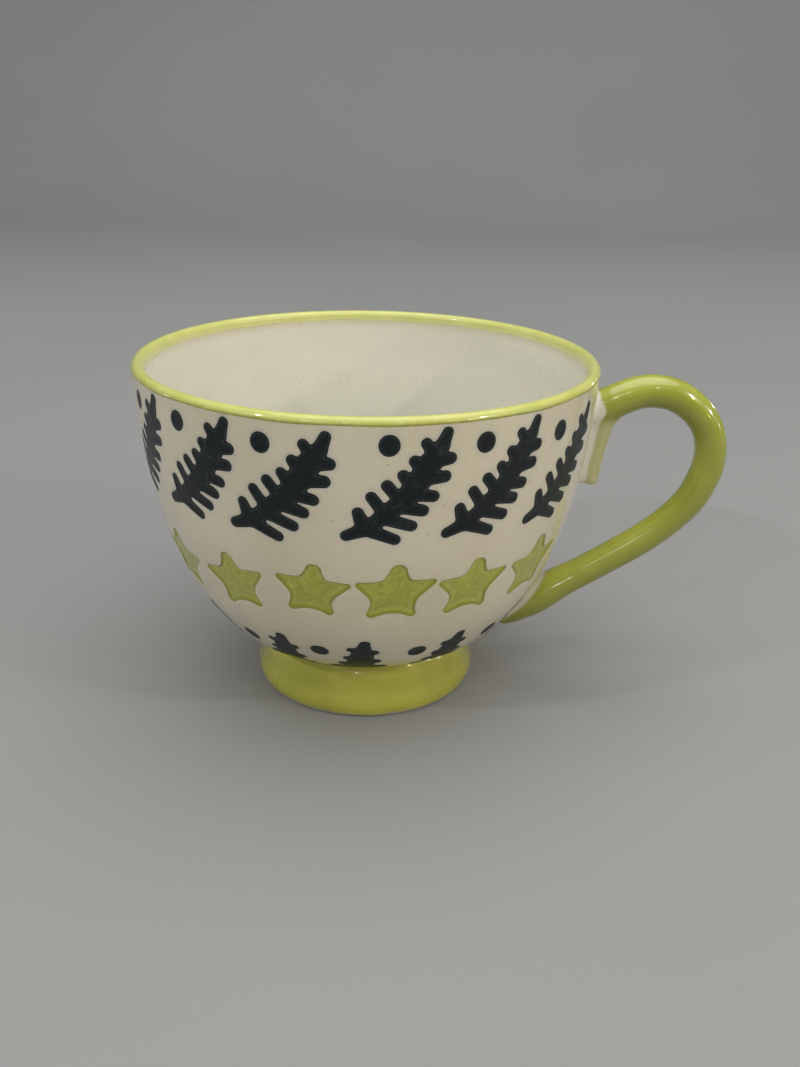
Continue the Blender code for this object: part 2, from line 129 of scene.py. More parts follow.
SPRIGS = [(-25.0, 25.6, 0.0, 1.0), (-55.0, 25.2, 2.0, 1.0), (-86.0, 25.7, 0.0, 1.0), (-113.0, 25.1, -3.0, 1.0),
          (-143.0, 25.9, 1.0, 1.0), (-174.0, 25.8, 0.0, 1.0), (-204.0, 26.2, -2.0, 1.0), (-234.0, 25.9, 2.0, 1.0),
          (-264.0, 26.1, 0.0, 1.0), (-294.0, 25.8, -1.0, 1.0), (-324.0, 26.0, 1.0, 1.0)]
LOW_DOTS = [(-39.5, 27.0, 0.0, 1.0), (-69.0, 26.9, 0.0, 1.0), (-101.0, 27.5, 0.0, 1.0), (-128.0, 26.6, 0.0, 1.0),
            (-158.5, 27.4, 0.0, 0.97), (-189.0, 27.2, 0.0, 1.0), (-219.0, 27.5, 0.0, 1.0), (-249.0, 27.1, 0.0, 0.98),
            (-279.0, 27.4, 0.0, 1.0), (-309.0, 27.3, 0.0, 1.0)]

# The coat over the lip
LIP_COLUMNS, LIP_STEPS = 480, 40
LIP_OUTER_END, LIP_INNER_END = 0.2, 1.35  # how far it runs past the round edge
LIP_EDGE = 0.18  # how fast it thins out at its ends
LIP_BEAD, LIP_BEAD_AT, LIP_BEAD_WIDTH = 0.05, 0.45, 0.25
LIP_ROOT = -0.3  # its hidden side, in the clay
THIN_REACH, OLIVE_REACH = 1.1, 0.9  # its pale inner zone and olive outer zone

# The foot ring, down its outer side and up its inner side
FOOT_TOP = [(28.1, 15.1), (28.45, 14.7), (28.85, 14.2), (29.2, 13.6), (29.5, 12.9), (29.72, 12.0), (29.87, 10.8),
            (29.95, 9.5), (30.03, 8.4), (30.18, 7.2), (30.4, 6.1), (30.65, 5.1), (30.85, 4.1), (31.0, 3.0),
            (30.9, 1.9), (30.6, 1.0)]
FOOT_BARE = [(30.1, 0.45), (29.5, 0.1), (28.6, 0.0), (27.4, 0.0), (26.5, 0.15), (26.0, 0.7)]
FOOT_INSIDE = [(25.6, 2.0), (25.2, 5.0), (25.0, 9.0), (25.0, 12.2), (26.2, 14.0), (27.2, 15.6)]
FOOT_COLUMNS = 288
FOOT_OVAL = 0.05
FOOT_WANDER = 0.16  # of the glaze line, up and down

# The handle's centre line as (radius, height, rod radius), its tail pressed down the wall, and the web between them
ROD_PATH = [(59.0, 77.6, 4.95), (61.5, 79.1, 4.85), (64.3, 80.7, 4.65), (67.2, 82.0, 4.55), (70.6, 83.4, 4.47),
            (74.0, 84.0, 4.45), (77.6, 83.8, 4.42), (81.0, 82.9, 4.35), (84.2, 81.1, 4.27), (87.0, 78.8, 4.22),
            (89.3, 76.0, 4.2), (90.9, 72.7, 4.2), (91.7, 69.3, 4.25), (91.8, 65.5, 4.3), (91.2, 61.7, 4.33),
            (88.4, 54.6, 4.28), (83.3, 48.2, 4.22), (76.9, 42.5, 4.25), (69.7, 37.4, 4.27), (62.3, 32.5, 4.27),
            (58.6, 30.2, 4.35), (54.8, 27.9, 4.6), (51.6, 25.6, 4.9), (48.4, 23.2, 4.95), (45.0, 20.9, 4.6),
            (42.0, 18.7, 3.95), (39.5, 17.0, 3.1), (38.0, 16.2, 2.3)]
TAIL_PATH = [(61.1, 79.0, 4.06), (61.4, 75.0, 4.06), (60.4, 69.0, 3.84), (59.5, 63.0, 3.76), (59.1, 58.5, 3.61)]
WEB_PATH = [(60.6, 70.0, 3.5), (61.7, 74.6, 3.65), (63.5, 78.3, 3.8), (66.3, 80.8, 3.9), (69.6, 82.4, 3.95),
            (72.6, 83.3, 3.8)]
UPPER_SLIP_REACH = 2.0
LOWER_SLIP_REACH = 4.2
SLIP_SPLIT_Z = 50.0
HANDLE_VOXEL = 0.4
SKIN_ROUNDS, FILLET_ROUNDS = 10, 45  # of softening: all over, then near the wall
FILLET_ZONE = (2.0, 4.5)  # where the softening near the wall fades out
LUTED_PATCH = (-17.0, 17.0, 15.8, 88.0)  # the part of the wall that the slip may spread over: angles, heights
PATCH_SINK, PATCH_DEPTH, PATCH_GRID = 0.14, 2.0, (40, 80)
GREEN_FROM_UPPER, GREEN_FROM_LOWER = 1.75, 3.3  # from the wall
COLLAR_HEIGHT, COLLAR_BULGE = 79.3, 1.2  # where cream reaches furthest
TAIL_CREAM = 0.4  # the share of green that the tail lacks

# The camera, in the frame's metres and degrees
CAMERA_DISTANCE = 0.25935
CAMERA_HEIGHT = 0.15131
CAMERA_TURN = 4.0
CAMERA_PAN = 2.074
CAMERA_PITCH = 23.056
CAMERA_ROLL = 1.197
LENS = 33.89
SENSOR_WIDTH = 36.0

# Lights. A lamp's row: degrees from straight behind the mug towards the handle's side, degrees above the horizon,
# size in metres, power, colour.
WHITE, WARM = (1.0, 1.0, 1.0), (1.0, 0.72, 0.34)
SOFTBOX = (0.1, 0.0, 1.5)
SOFTBOX_SIZE = 1.8
SOFTBOX_POWER = 12.8
LAMP_DISTANCE = 1.4
LAMPS = [(-127.0, 38.0, 0.07, 2.2, WHITE), (-154.0, 34.0, 0.06, 0.9, WHITE), (-172.0, 38.0, 0.06, 0.4, WHITE),
         (-174.0, 13.0, 0.05, 0.35, WHITE), (160.0, 37.0, 0.06, 0.4, WHITE), (128.0, 27.0, 0.05, 0.9, WARM),
         (119.0, 33.0, 0.07, 2.0, WHITE), (104.0, 21.0, 0.06, 1.4, WHITE), (-80.0, 9.0, 0.03, 0.9, WHITE),
         (43.0, 9.0, 0.03, 0.6, WHITE), (94.0, 9.0, 0.03, 0.6, WHITE), (128.0, 12.0, 0.04, 0.4, WARM)]
LAMP_AIM = (0.0, 0.0, 0.06)  # metres
HORIZON, ZENITH = (0.19, 0.19, 0.19, 1.0), (0.58, 0.58, 0.575, 1.0)
DOME_STRENGTH = 0.75


# ---------------- outlines

def smooth_curve(points, samples):
    """Samples of a Catmull-Rom curve through the points, one row for each."""
    rows = np.array(points, float)
    padded = np.vstack([rows[:1], rows, rows[-1:]])
    along = np.linspace(0, len(rows) - 1, samples + 1)
    first = np.minimum(along.astype(int), len(rows) - 2)
    t = (along - first)[:, None]
    p, q, r, s = (padded[first + step] for step in range(4))
    return (2 * q + (r - p) * t + (2 * p - 5 * q + 4 * r - s) * t ** 2 + (3 * q - p - 3 * r + s) * t ** 3) / 2


class Outline:
    """A turned outline that can be read at any length along it."""

    def __init__(self, points, samples=800):
        curve = smooth_curve(points, samples)
        steps = np.hypot(*np.diff(curve, axis=0).T)
        self.r, self.z = curve.T
        self.length = np.concatenate([[0.0], np.cumsum(steps)])
        self.total = self.length[-1]
        slope = np.gradient(curve, self.length, axis=0)
        slope /= np.hypot(*slope.T)[:, None]
        self.nr, self.nz = slope[:, 1], -slope[:, 0]

    def at(self, up, out=0.0):
        """(radius, height) at a length along the outline, moved outwards along its normal."""
        r, z, nr, nz = (np.interp(up, self.length, row) for row in (self.r, self.z, self.nr, self.nz))
        return r + nr * out, z + nz * out

    def up_at(self, height):
        return float(np.interp(height, self.z, self.length))


WALL = Outline(BOWL_OUTER)


def ring_angles(columns):
    """The angles of one ring's points, in radians."""
    return np.arange(columns) * 2 * math.pi / columns


def ramp(value, low, high):
    """0 below low, 1 above high, and smooth between them."""
    t = np.clip((value - low) / (high - low), 0, 1)
    return t * t * (3 - 2 * t)


def sinking(height, heights):
    """0 above the first height, 1 below the second."""
    high, low = heights
    return ramp(-height, -high, -low)


def waves(position, seed, lengths, amplitude):
    """A smooth random wobble: sines of these wavelengths with seeded phases."""
    phases = np.random.default_rng(seed).uniform(0, 2 * math.pi, len(lengths))
    total = sum(np.sin(2 * math.pi * position / length + phase) for length, phase in zip(lengths, phases))
    return amplitude * total / math.sqrt(len(lengths))


def around(angle, seed, amplitude, counts=(3, 7, 12, 19)):
    """A wobble that closes on itself round the cup, from an angle in radians."""
    return waves(angle, seed, [2 * math.pi / count for count in counts], amplitude)


# ---------------- motifs as distance fields

def smooth_least(a, b, blend):
    """The lesser of two fields, with a fillet of this size where they cross."""
    mix = np.clip(0.5 + 0.5 * (b - a) / blend, 0, 1)
    return b + (a - b) * mix - blend * mix * (1 - mix)


def stroke_field(x, y, start, end):
    (x0, y0, r0), (x1, y1, r1) = start, end
    dx, dy = x1 - x0, y1 - y0
    t = np.clip(((x - x0) * dx + (y - y0) * dy) / (dx * dx + dy * dy), 0, 1)
    return np.hypot(x - x0 - dx * t, y - y0 - dy * t) - (r0 + (r1 - r0) * t)


def strokes_field(x, y, spine, lobes, blend=STROKE_BLEND):
    """How far points lie outside a motif, negative within it."""
    field = np.full(np.shape(x), FAR)
    for start, end in list(zip(spine, spine[1:])) + lobes:
        field = smooth_least(field, stroke_field(x, y, start, end), blend)
    return field


def leaf_field(x, y):
    return strokes_field(x, y, LEAF_SPINE, LEAF_LOBES)


def sprig_field(x, y):
    return strokes_field(x, y, SPRIG_SPINE, SPRIG_LOBES)


def star_field(x, y):
    return strokes_field(x, y, [], STAR_ARMS, STAR_BLEND)


def dot_field(x, y):
    return np.hypot(x * 1.02, y * 0.98) - DOT_RADIUS


# Each motif's field, and how far the motif reaches from its middle
FIELDS = {"leaf": (leaf_field, 15.5), "dot": (dot_field, 3.6), "star": (star_field, 10.8),
          "sprig": (sprig_field, 12.0)}


def stamps():
    """Every motif as (kind, number, angle, height, lean, size)."""
    rows = {"leaf": LEAVES, "dot": DOTS + LOW_DOTS, "star": STARS, "sprig": SPRIGS}
    return [(kind, number, *spot) for kind, spots in rows.items() for number, spot in enumerate(spots, 1)]


def to_motif(angle, up, stamp):
    """Wall coordinates (radians, length) in the motif's own (across, up)."""
    _, _, middle, height, lean, size = stamp
    radius, _ = WALL.at(up)
    turn = (angle - math.radians(middle) + math.pi) % (2 * math.pi) - math.pi
    across, rise = turn * radius / size, (up - WALL.up_at(height)) / size
    c, s = math.cos(math.radians(lean)), math.sin(math.radians(lean))
    return across * c + rise * s, rise * c - across * s


def from_motif(x, y, stamp):
    """A motif's (across, up) in wall coordinates (radians, length)."""
    _, _, middle, height, lean, size = stamp
    c, s = math.cos(math.radians(lean)) * size, math.sin(math.radians(lean)) * size
    across, rise = x * c - y * s, x * s + y * c
    up = WALL.up_at(height) + rise
    radius, _ = WALL.at(up)
    return math.radians(middle) + across / radius, up


def pattern_field(angle, up, kinds):
    """The least distance to any motif of these kinds, at each wall point."""
    field = np.full(angle.shape, FAR)
    for stamp in stamps():
        if stamp[0] not in kinds:
            continue
        motif, reach = FIELDS[stamp[0]]
        x, y = to_motif(angle, up, stamp)
        near = (np.abs(x) < reach + 3) & (np.abs(y) < reach + 3)
        field[near] = np.minimum(field[near], motif(x[near], y[near]) * stamp[-1])
    return field


# ---------------- meshes

def place(angle, r, z):
    """Points in the frame's metres from an angle in radians, a radius and a height."""
    return np.column_stack([AXIS_X + r * np.cos(angle), r * np.sin(angle), z * np.ones_like(angle)]) * MM


def add_object(name, data):
    made = bpy.data.objects.new(name, data)
    bpy.context.scene.collection.objects.link(made)
    return made


def add_piece(name, points, faces, materials, replaced, marks=None, sharp=60.0):
    """A smooth-shaded mesh that rides on the mug's one body and stands for CAD nodes. marks are point attributes."""
    mesh = bpy.data.meshes.new(name)
    mesh.from_pydata([tuple(point) for point in points], [], faces)
    for material in materials:
        mesh.materials.append(material)
    for mark, values in (marks or {}).items():
        mesh.attributes.new(mark, "FLOAT", "POINT").data.foreach_set("value", np.asarray(values, np.float32))
    mesh.shade_smooth()
    mesh.set_sharp_from_angle(angle=math.radians(sharp))
    piece = add_object(name, mesh)
    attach(piece, "root")
    if replaced:
        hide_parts(*replaced)
    return piece


def ring_faces(upper, lower, columns):
    """Quads between two closed rings of vertex numbers, facing out when lower is below upper on an outer side."""
    return [(lower + i, lower + (i + 1) % columns, upper + (i + 1) % columns, upper + i) for i in range(columns)]


def thinning_faces(fine, coarse, columns, every):
    """Faces from a fine ring up to a coarse one that keeps one column in every few."""
    faces = []
    for i in range(columns // every):
        start = i * every
        low = [fine + (start + step) % columns for step in range(every + 1)]
        faces.append((*low, coarse + (i + 1) % (columns // every), coarse + i))
    return faces


def renumbered(faces):
    """The vertices that faces use, and the faces numbered by their places among them."""
    used = sorted({vertex for face in faces for vertex in face})
    new = {old: index for index, old in enumerate(used)}
    return used, [tuple(new[vertex] for vertex in face) for face in faces]


def cut_cell(corners, field, crossing, inside):
    """The part of a grid cell on one side of the field's zero line, as vertex numbers."""
    polygon = []
    for here, there in zip(corners, corners[1:] + corners[:1]):
        if (field[here] < 0) == inside:
            polygon.append(here)
        if (field[here] < 0) != (field[there] < 0):
            polygon.append(crossing(here, there))
    return tuple(polygon)


class Crossings:
    """New vertices where the field's zero line crosses the edges of a grid."""

    def __init__(self, field):
        self.field = field
        self.found = {}
        self.pairs = []

    def __call__(self, a, b):
        key = (min(a, b), max(a, b))
        if key not in self.found:
            self.found[key] = len(self.field) + len(self.pairs)
            share = self.field[key[0]] / (self.field[key[0]] - self.field[key[1]])
            self.pairs.append((*key, min(max(share, LEAST_SHARE), 1 - LEAST_SHARE)))
        return self.found[key]

    def blend(self, values):
        """The values at the grid's vertices, with those at the crossings added."""
        if not self.pairs:
            return values
        a, b, share = (np.array(column) for column in zip(*self.pairs))
        return np.concatenate([values, values[a.astype(int)] * (1 - share) + values[b.astype(int)] * share])


def wall_mesh():
    """The outer wall with its pressed recesses: points, faces, the halo mark, and each end ring's first vertex."""
    row = np.linspace(0, WALL.total, WALL_ROWS + 1)
    angle, up = (grid.ravel() for grid in np.meshgrid(ring_angles(WALL_COLUMNS), row))
    field = pattern_field(angle, up, FIELDS)
    crossing = Crossings(field)
    faces = []
    for j in range(WALL_ROWS):
        base = j * WALL_COLUMNS
        for i in range(WALL_COLUMNS):
            k = (i + 1) % WALL_COLUMNS
            corners = [base + i, base + k, base + WALL_COLUMNS + k, base + WALL_COLUMNS + i]
            sides = {bool(side) for side in field[corners] < 0}
            if len(sides) == 1:
                faces.append(tuple(corners))
            else:
                faces += [cut_cell(corners, field, crossing, side) for side in (True, False)]
    # Cosine and sine are blended, so that a crossing between the last and first columns stays there.
    angle_x, angle_y = crossing.blend(np.cos(angle)), crossing.blend(np.sin(angle))
    angle, up = np.arctan2(angle_y, angle_x), crossing.blend(up)
    field = np.concatenate([field, np.zeros(len(crossing.pairs))])
    out = -RECESS_SHOULDER * ramp(-field, -SHOULDER_WIDTH, 0) - RECESS_DEPTH * ramp(-field, 0, RECESS_RAMP)
    out += WALL_OVAL * np.sin(2 * angle + 0.7) * ramp(up, 5, 30) * ramp(-up, -WALL.total, -WALL.total + 12)
    r, z = WALL.at(up, out)
    dark = pattern_field(angle, up, ("leaf", "dot", "sprig"))
    halo = np.exp(-np.clip(dark, 0, None) / HALO_REACH)
    bottom_ring, top_ring = 0, WALL_ROWS * WALL_COLUMNS
    return place(angle, r, z), faces, halo, bottom_ring, top_ring


def inner_outline():
    """The lip's arc, then the way down the inside to the middle of the floor."""
    arc_turns = np.radians(np.linspace(18, 180, 10))
    arc = [(LIP_CENTRE[0] + CLAY_LIP_RADIUS * math.cos(turn), LIP_CENTRE[1] + CLAY_LIP_RADIUS * math.sin(turn))
           for turn in arc_turns]
    share = np.linspace(0.97, 0.2, 9)
    thick = WALL_AT_BASE + (WALL_AT_LIP - WALL_AT_BASE) * share
    side = np.column_stack(WALL.at(share * WALL.total, -thick))
    down = smooth_curve([arc[-1], *side, *BOWL_FLOOR[::-1]], INNER_ROWS)
    return arc, down


def build_bowl(material):
    """The closed clay body: patterned outer wall, lip, inside, floor and underside."""
    points, faces, halo, bottom_ring, top_ring = wall_mesh()
    points, halo = [points], [halo]
    columns = WALL_COLUMNS // INNER_EVERY
    angle = ring_angles(columns)
    inside_and_deep_shade = [np.zeros(len(points[0]))]
    count = len(points[0])

    def add_rings(outline, first_ring, facing_up):
        nonlocal count
        previous = first_ring
        for number, (r, z) in enumerate(outline):
            last = number == len(outline) - 1
            ring = place(angle[:1], 0.0, z) if last else place(angle, r, z)
            points.append(ring)
            halo.append(np.zeros(len(ring)))
            # Inside, this mark goes from 0 to 1 where the glaze whitens, then on to 2 with painted shade deeper in
            # the cup.
            pooled = sinking(z, INSIDE_FROM) + sinking(z, DEEP_SHADE_FROM) if facing_up else 0.0
            inside_and_deep_shade.append(np.full(len(ring), pooled))
            if number == 0:
                made = thinning_faces(previous, count, WALL_COLUMNS, INNER_EVERY)
            elif last:
                made = [(previous + i, previous + (i + 1) % columns, count) for i in range(columns)]
            else:
                made = ring_faces(count, previous, columns)
            faces.extend(made if facing_up else [face[::-1] for face in made])
            previous, count = count, count + len(ring)

    arc, down = inner_outline()
    add_rings(arc + [tuple(point) for point in down[1:]], top_ring, True)
    add_rings(UNDERSIDE, bottom_ring, False)
    marks = {"halo": np.concatenate(halo), "inside_and_deep_shade": np.concatenate(inside_and_deep_shade)}
    add_piece("glazed_bowl", np.vstack(points), faces, [material], ["bowl"], marks)


def flat_motif(kind):
    """A motif's flat mesh: (across, up) points, faces, outline edges, and depth inside the outline."""
    motif, reach = FIELDS[kind]
    side = np.arange(-reach, reach + INLAY_CELL, INLAY_CELL)
    x, y = (grid.ravel() for grid in np.meshgrid(side, side))
    field = motif(x, y)
    count = len(side)
    crossing = Crossings(field)
    faces = []
    for j in range(count - 1):
        for i in range(count - 1):
            corner = j * count + i
            corners = [corner, corner + 1, corner + count + 1, corner + count]
            inside = (field[corners] < 0).sum()
            if inside == 4:
                faces.append(tuple(corners))
            elif inside:
                faces.append(cut_cell(corners, field, crossing, True))
    x, y = crossing.blend(x), crossing.blend(y)
    depth = np.concatenate([-field, np.zeros(len(crossing.pairs))])
    used, faces = renumbered(faces)
    edges = dict.fromkeys(edge for face in faces for edge in zip(face, face[1:] + face[:1]))
    outline = [(a, b) for a, b in edges if (b, a) not in edges]
    return x[used], y[used], depth[used], faces, outline


def dark_surface(x, y, depth, seed):
    """A brushed glaze: a low bead just inside the outline, a shallow dish, and strokes along the leaf."""
    bead = BEAD_HEIGHT * ramp(depth, 0, 0.25) * ramp(-depth, -0.7, -0.3)
    dish = -DISH_DEPTH * ramp(depth, 0.4, 1.3)
    along, across = (x + y) / math.sqrt(2), (y - x) / math.sqrt(2)
    strokes = waves(across + 0.35 * np.sin(along / 2.3), seed, BRUSH_WIDTHS, BRUSH_DEPTH)
    strokes += waves(along, seed, (6.0,), 0.006)
    return -RECESS_SHOULDER + 0.05 * ramp(depth, 0, 0.2) + bead + dish + strokes * ramp(depth, 0.2, 0.6)


def star_surface(x, y, depth, seed):
    """A stamped star: steep above, sloping below, with a pitted face that rises a little to its middle."""
    lower = -star_field(x, y - STAR_SLOPE)
    slope = np.minimum(ramp(depth, 0.0, 0.5), ramp(lower, -0.2, 1.0))
    pits = waves(x + 0.4 * np.sin(y * 2.1), seed, (0.9, 1.35, 2.2), STAR_PITS) * waves(y, seed + 7, (0.8, 1.3), 1.0)
    return -RECESS_SHOULDER - STAR_SUNK * slope + 0.1 * ramp(depth, 1.0, 4.0) + pits * slope


SURFACES = {"leaf": dark_surface, "dot": dark_surface, "sprig": dark_surface, "star": star_surface}


def build_inlay(stamp, flat, material, slot):
    """One motif's plug of glaze, wrapped on the wall."""
    kind, number = stamp[:2]
    x, y, depth, faces, outline = flat
    seed = sum(map(ord, kind)) * 100 + number
    angle, up = from_motif(x, y, stamp)
    top = place(angle, *WALL.at(up, SURFACES[kind](x, y, depth, seed)))
    bottom = place(angle, *WALL.at(up, INLAY_BOTTOM))
    count = len(x)
    sides = [(b, a, count + a, count + b) for a, b in outline]
    below = [tuple(count + vertex for vertex in face[::-1]) for face in faces]
    both = {"depth": np.tile(depth, 2), "across": np.tile(x, 2), "rise": np.tile(y, 2)}
    if kind == "star":
        both["lower"] = np.tile(-star_field(x, y - STAR_SLOPE), 2)
    name = f"{kind}_{number:02d}"
    replaced = [name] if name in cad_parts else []
    points = np.vstack([top, bottom])
    add_piece(f"{kind}_glaze_{number:02d}", points, faces + sides + below, [material], replaced, both)


def build_pattern(dark_material, star_material):
    flats = {kind: flat_motif(kind) for kind in FIELDS}
    for stamp in stamps():
        kind = stamp[0]
        filling = (star_material, "star_glaze") if kind == "star" else (dark_material, "charcoal_glaze")
        build_inlay(stamp, flats[kind], *filling)


def turned_faces(count, columns):
    """Quads of a closed section turned right round, where rings are stored one after another."""
    return [face for ring in range(count)
            for face in ring_faces(ring * columns, (ring + 1) % count * columns, columns)]


def build_lip_band(material):
    """The green coat over the lip. Its two lower edges wander a little, and it is thicker just above them."""
    angle = ring_angles(LIP_COLUMNS)
    outer_end = LIP_OUTER_END + around(angle, 3, 0.09) + 0.06 * np.sin(angle + 1)
    inner_end = LIP_INNER_END + around(angle, 5, 0.14)
    arc_length = math.pi * LIP_RADIUS
    rings, thin, olive = [], [], []
    for skin in (True, False):
        order = range(LIP_STEPS + 1) if skin else range(LIP_STEPS, -1, -1)
        for step in order:
            share = step / LIP_STEPS
            travel = -outer_end + (arc_length + outer_end + inner_end) * share
            turn = np.clip(travel / LIP_RADIUS, 0, math.pi)
            drop = np.maximum(-travel, 0) + np.maximum(travel - arc_length, 0)
            to_edge = np.minimum(travel + outer_end, arc_length + inner_end - travel)
            bead = LIP_BEAD * np.exp(-((to_edge - LIP_BEAD_AT) / LIP_BEAD_WIDTH) ** 2)
            coat = LIP_GLAZE * (1 - np.exp(-to_edge / LIP_EDGE)) + bead
            reach = CLAY_LIP_RADIUS + (coat if skin else LIP_ROOT)
            r, z = LIP_CENTRE[0] + reach * np.cos(turn), LIP_CENTRE[1] + reach * np.sin(turn) - drop
            rings.append(place(angle, r, z))
            thin.append(np.exp(-np.maximum(arc_length + inner_end - travel, 0) / THIN_REACH))
            olive.append(np.exp(-np.maximum(travel + outer_end, 0) / OLIVE_REACH))
    faces = [face[::-1] for face in turned_faces(len(rings), LIP_COLUMNS)]
    marks = {"thin": np.concatenate(thin), "olive": np.concatenate(olive)}
    add_piece("lip_band", np.vstack(rings), faces, [material], ["rim_glaze"], marks)


def build_foot(glaze, bare):
    """The foot ring: glazed outside and inside, and bare where it rests."""
    glazed = smooth_curve(FOOT_TOP, 40)
    resting = smooth_curve([FOOT_TOP[-1], *FOOT_BARE, FOOT_INSIDE[0]], 24)[1:]
    inside = smooth_curve(FOOT_INSIDE, 20)[1:]
    section = np.vstack([glazed, resting, inside])
    angle = ring_angles(FOOT_COLUMNS)
    glaze_line = np.exp(-(np.arange(len(section)) - len(glazed) + 1.0) ** 2 / 12)
    rings = []
    for (r, z), near_line in zip(section, glaze_line):
        shape = FOOT_OVAL * np.sin(2 * angle + z / 4) * ramp(z, 0.0, 4.0)
        rings.append(place(angle, r + shape, z + around(angle, 11, FOOT_WANDER) * near_line * min(z, 1.0)))
    faces = [face[::-1] for face in turned_faces(len(section), FOOT_COLUMNS)]
    foot = add_piece("glazed_foot", np.vstack(rings), faces, [glaze, bare], ["foot_ring"])
    ring_of_face = np.arange(len(faces)) // FOOT_COLUMNS
    is_bare = (ring_of_face >= len(glazed) - 1) & (ring_of_face < len(glazed) + len(resting) - 1)
    foot.data.polygons.foreach_set("material_index", is_bare.astype(np.int32))


def swept_rod(path, samples, sides=40):
    """A closed round rod along a path in the handle's plane: its points and faces."""
    curve = smooth_curve(path, samples)
    heading = np.gradient(curve[:, :2], axis=0)
    heading /= np.hypot(*heading.T)[:, None]
    turn = ring_angles(sides)
    points = []
    for (r, z, rod), (heading_r, heading_z) in zip(curve, heading):
        in_plane, across = rod * np.cos(turn), rod * np.sin(turn)
        points.append(np.column_stack([AXIS_X + r - heading_z * in_plane, across, z + heading_r * in_plane]))
    points = np.vstack(points)
    count = len(curve)
    faces = []
    for ring in range(count - 1):
        faces += ring_faces(ring * sides, (ring + 1) * sides, sides)
    faces.append(tuple(range(sides)))
    faces.append(tuple(range((count - 1) * sides, count * sides))[::-1])
    return points * MM, faces


def wall_distance(points):
    """How far points in metres lie outside the bowl's outer wall, in millimetres."""
    r = np.hypot(points[:, 0] / MM - AXIS_X, points[:, 1] / MM)
    z = points[:, 2] / MM
    best = np.full(len(points), FAR)
    batch, every = 2000, 8  # points compared at once, with one in eight of the wall's samples
    for start in range(0, len(points), batch):
        part = slice(start, start + batch)
        gaps = np.hypot(r[part, None] - WALL.r[None, ::every], z[part, None] - WALL.z[None, ::every])
        nearest = gaps.argmin(axis=1) * every
        away = (r[part] - WALL.r[nearest]) * WALL.nr[nearest] + (z[part] - WALL.z[nearest]) * WALL.nz[nearest]
        best[part] = np.where(away < 0, -gaps.min(axis=1), gaps.min(axis=1))
    return best


def wall_patch():
    """A thin closed plate of wall just under the glaze, for the slip's fillets to grow from."""
    first, last, low, high = LUTED_PATCH
    columns, rows = PATCH_GRID
    angle, up = (grid.ravel() for grid in np.meshgrid(np.radians(np.linspace(first, last, columns)),
                                                      np.linspace(WALL.up_at(low), WALL.up_at(high), rows)))
    count = len(angle)
    points = np.vstack([place(angle, *WALL.at(up, -PATCH_SINK)), place(angle, *WALL.at(up, -PATCH_DEPTH))])
    faces = []
    for j in range(rows - 1):
        for i in range(columns - 1):
            corner = j * columns + i
            quad = (corner, corner + 1, corner + columns + 1, corner + columns)
            faces += [quad, tuple(count + vertex for vertex in quad[::-1])]
    top = (rows - 1) * columns
    rim = list(range(columns)) + [columns * j + columns - 1 for j in range(1, rows)]
    rim += list(range(top + columns - 2, top - 1, -1)) + [columns * j for j in range(rows - 2, 0, -1)]
    faces += [(b, a, count + a, count + b) for a, b in zip(rim, rim[1:] + rim[:1])]
    return points, faces


def relaxed(points, edges, weight, rounds):
    """Points moved a share of the way to the mean of their neighbours, a number of times over."""
    count = len(points)
    ends = np.concatenate([edges[:, 0], edges[:, 1]])
    others = np.concatenate([edges[:, 1], edges[:, 0]])
    degree = np.bincount(ends, minlength=count)
    for _ in range(rounds):
        mean = np.column_stack([np.bincount(ends, points[others, axis], count) / degree for axis in range(3)])
        points = points + weight[:, None] * (mean - points)
    return points


def read_rows(data, field, width, kind):
    """A field of a mesh's vertices or edges, one row for each."""
    values = np.empty(len(data) * width, kind)
    data.foreach_get(field, values)
    return values.reshape(-1, width)


def handle_body():
    """Rod, tail, web and wall patch as one skin, softened, and most of all along the luted joints."""
    pieces = [swept_rod(ROD_PATH, 180), swept_rod(TAIL_PATH, 40), swept_rod(WEB_PATH, 40), wall_patch()]
    points, faces = [], []
    for piece_points, piece_faces in pieces:
        start = sum(map(len, points))
        points.append(piece_points)
        faces += [tuple(vertex + start for vertex in face) for face in piece_faces]
    body = bpy.data.meshes.new("handle_body")
    body.from_pydata([tuple(point) for point in np.vstack(points)], [], faces)
    blank = add_object("handle_body", body)
    remesh = blank.modifiers.new("Skin", "REMESH")
    remesh.mode = "VOXEL"
    remesh.voxel_size = HANDLE_VOXEL * MM
    bpy.context.view_layer.update()
    graph = bpy.context.evaluated_depsgraph_get()
    skin = bpy.data.meshes.new_from_object(blank.evaluated_get(graph), depsgraph=graph)
    bpy.data.objects.remove(blank)
    bpy.data.meshes.remove(body)
    points = read_rows(skin.vertices, "co", 3, np.float32).astype(float)
    edges = read_rows(skin.edges, "vertices", 2, np.int32)
    points = relaxed(points, edges, np.full(len(points), 0.5), SKIN_ROUNDS)
    inner, outer = FILLET_ZONE
    near = 0.5 * ramp(-wall_distance(points), -outer, -inner)
    points = relaxed(points, edges, near, FILLET_ROUNDS)
    skin.vertices.foreach_set("co", points.astype(np.float32).ravel())
    skin.update()
    return skin


def handle_share(points):
    """How far each point of the handle's skin is from the wall, where the slip ends, and how much green covers it."""
    reach = wall_distance(points)
    z = points[:, 2] / MM
    upper = z > SLIP_SPLIT_Z
    slip_reach = np.where(upper, UPPER_SLIP_REACH, LOWER_SLIP_REACH)
    collar = COLLAR_BULGE * np.exp(-((z - COLLAR_HEIGHT) / 2.0) ** 2)
    bulge = GREEN_FROM_UPPER + collar - 0.9 * ramp(z, 81.0, 84.0)
    start = np.where(upper, bulge, GREEN_FROM_LOWER) + waves(z, 21, (17.0, 9.0), 0.12)
    green = ramp(reach, start - 0.25, start + np.where(upper, 0.8, 1.3))
    on_tail = np.where(upper, ramp(-z, -79.0, -74.0) * ramp(-reach, -9.0, -7.5), 0.0)
    return reach, slip_reach, green * (1 - TAIL_CREAM * on_tail)


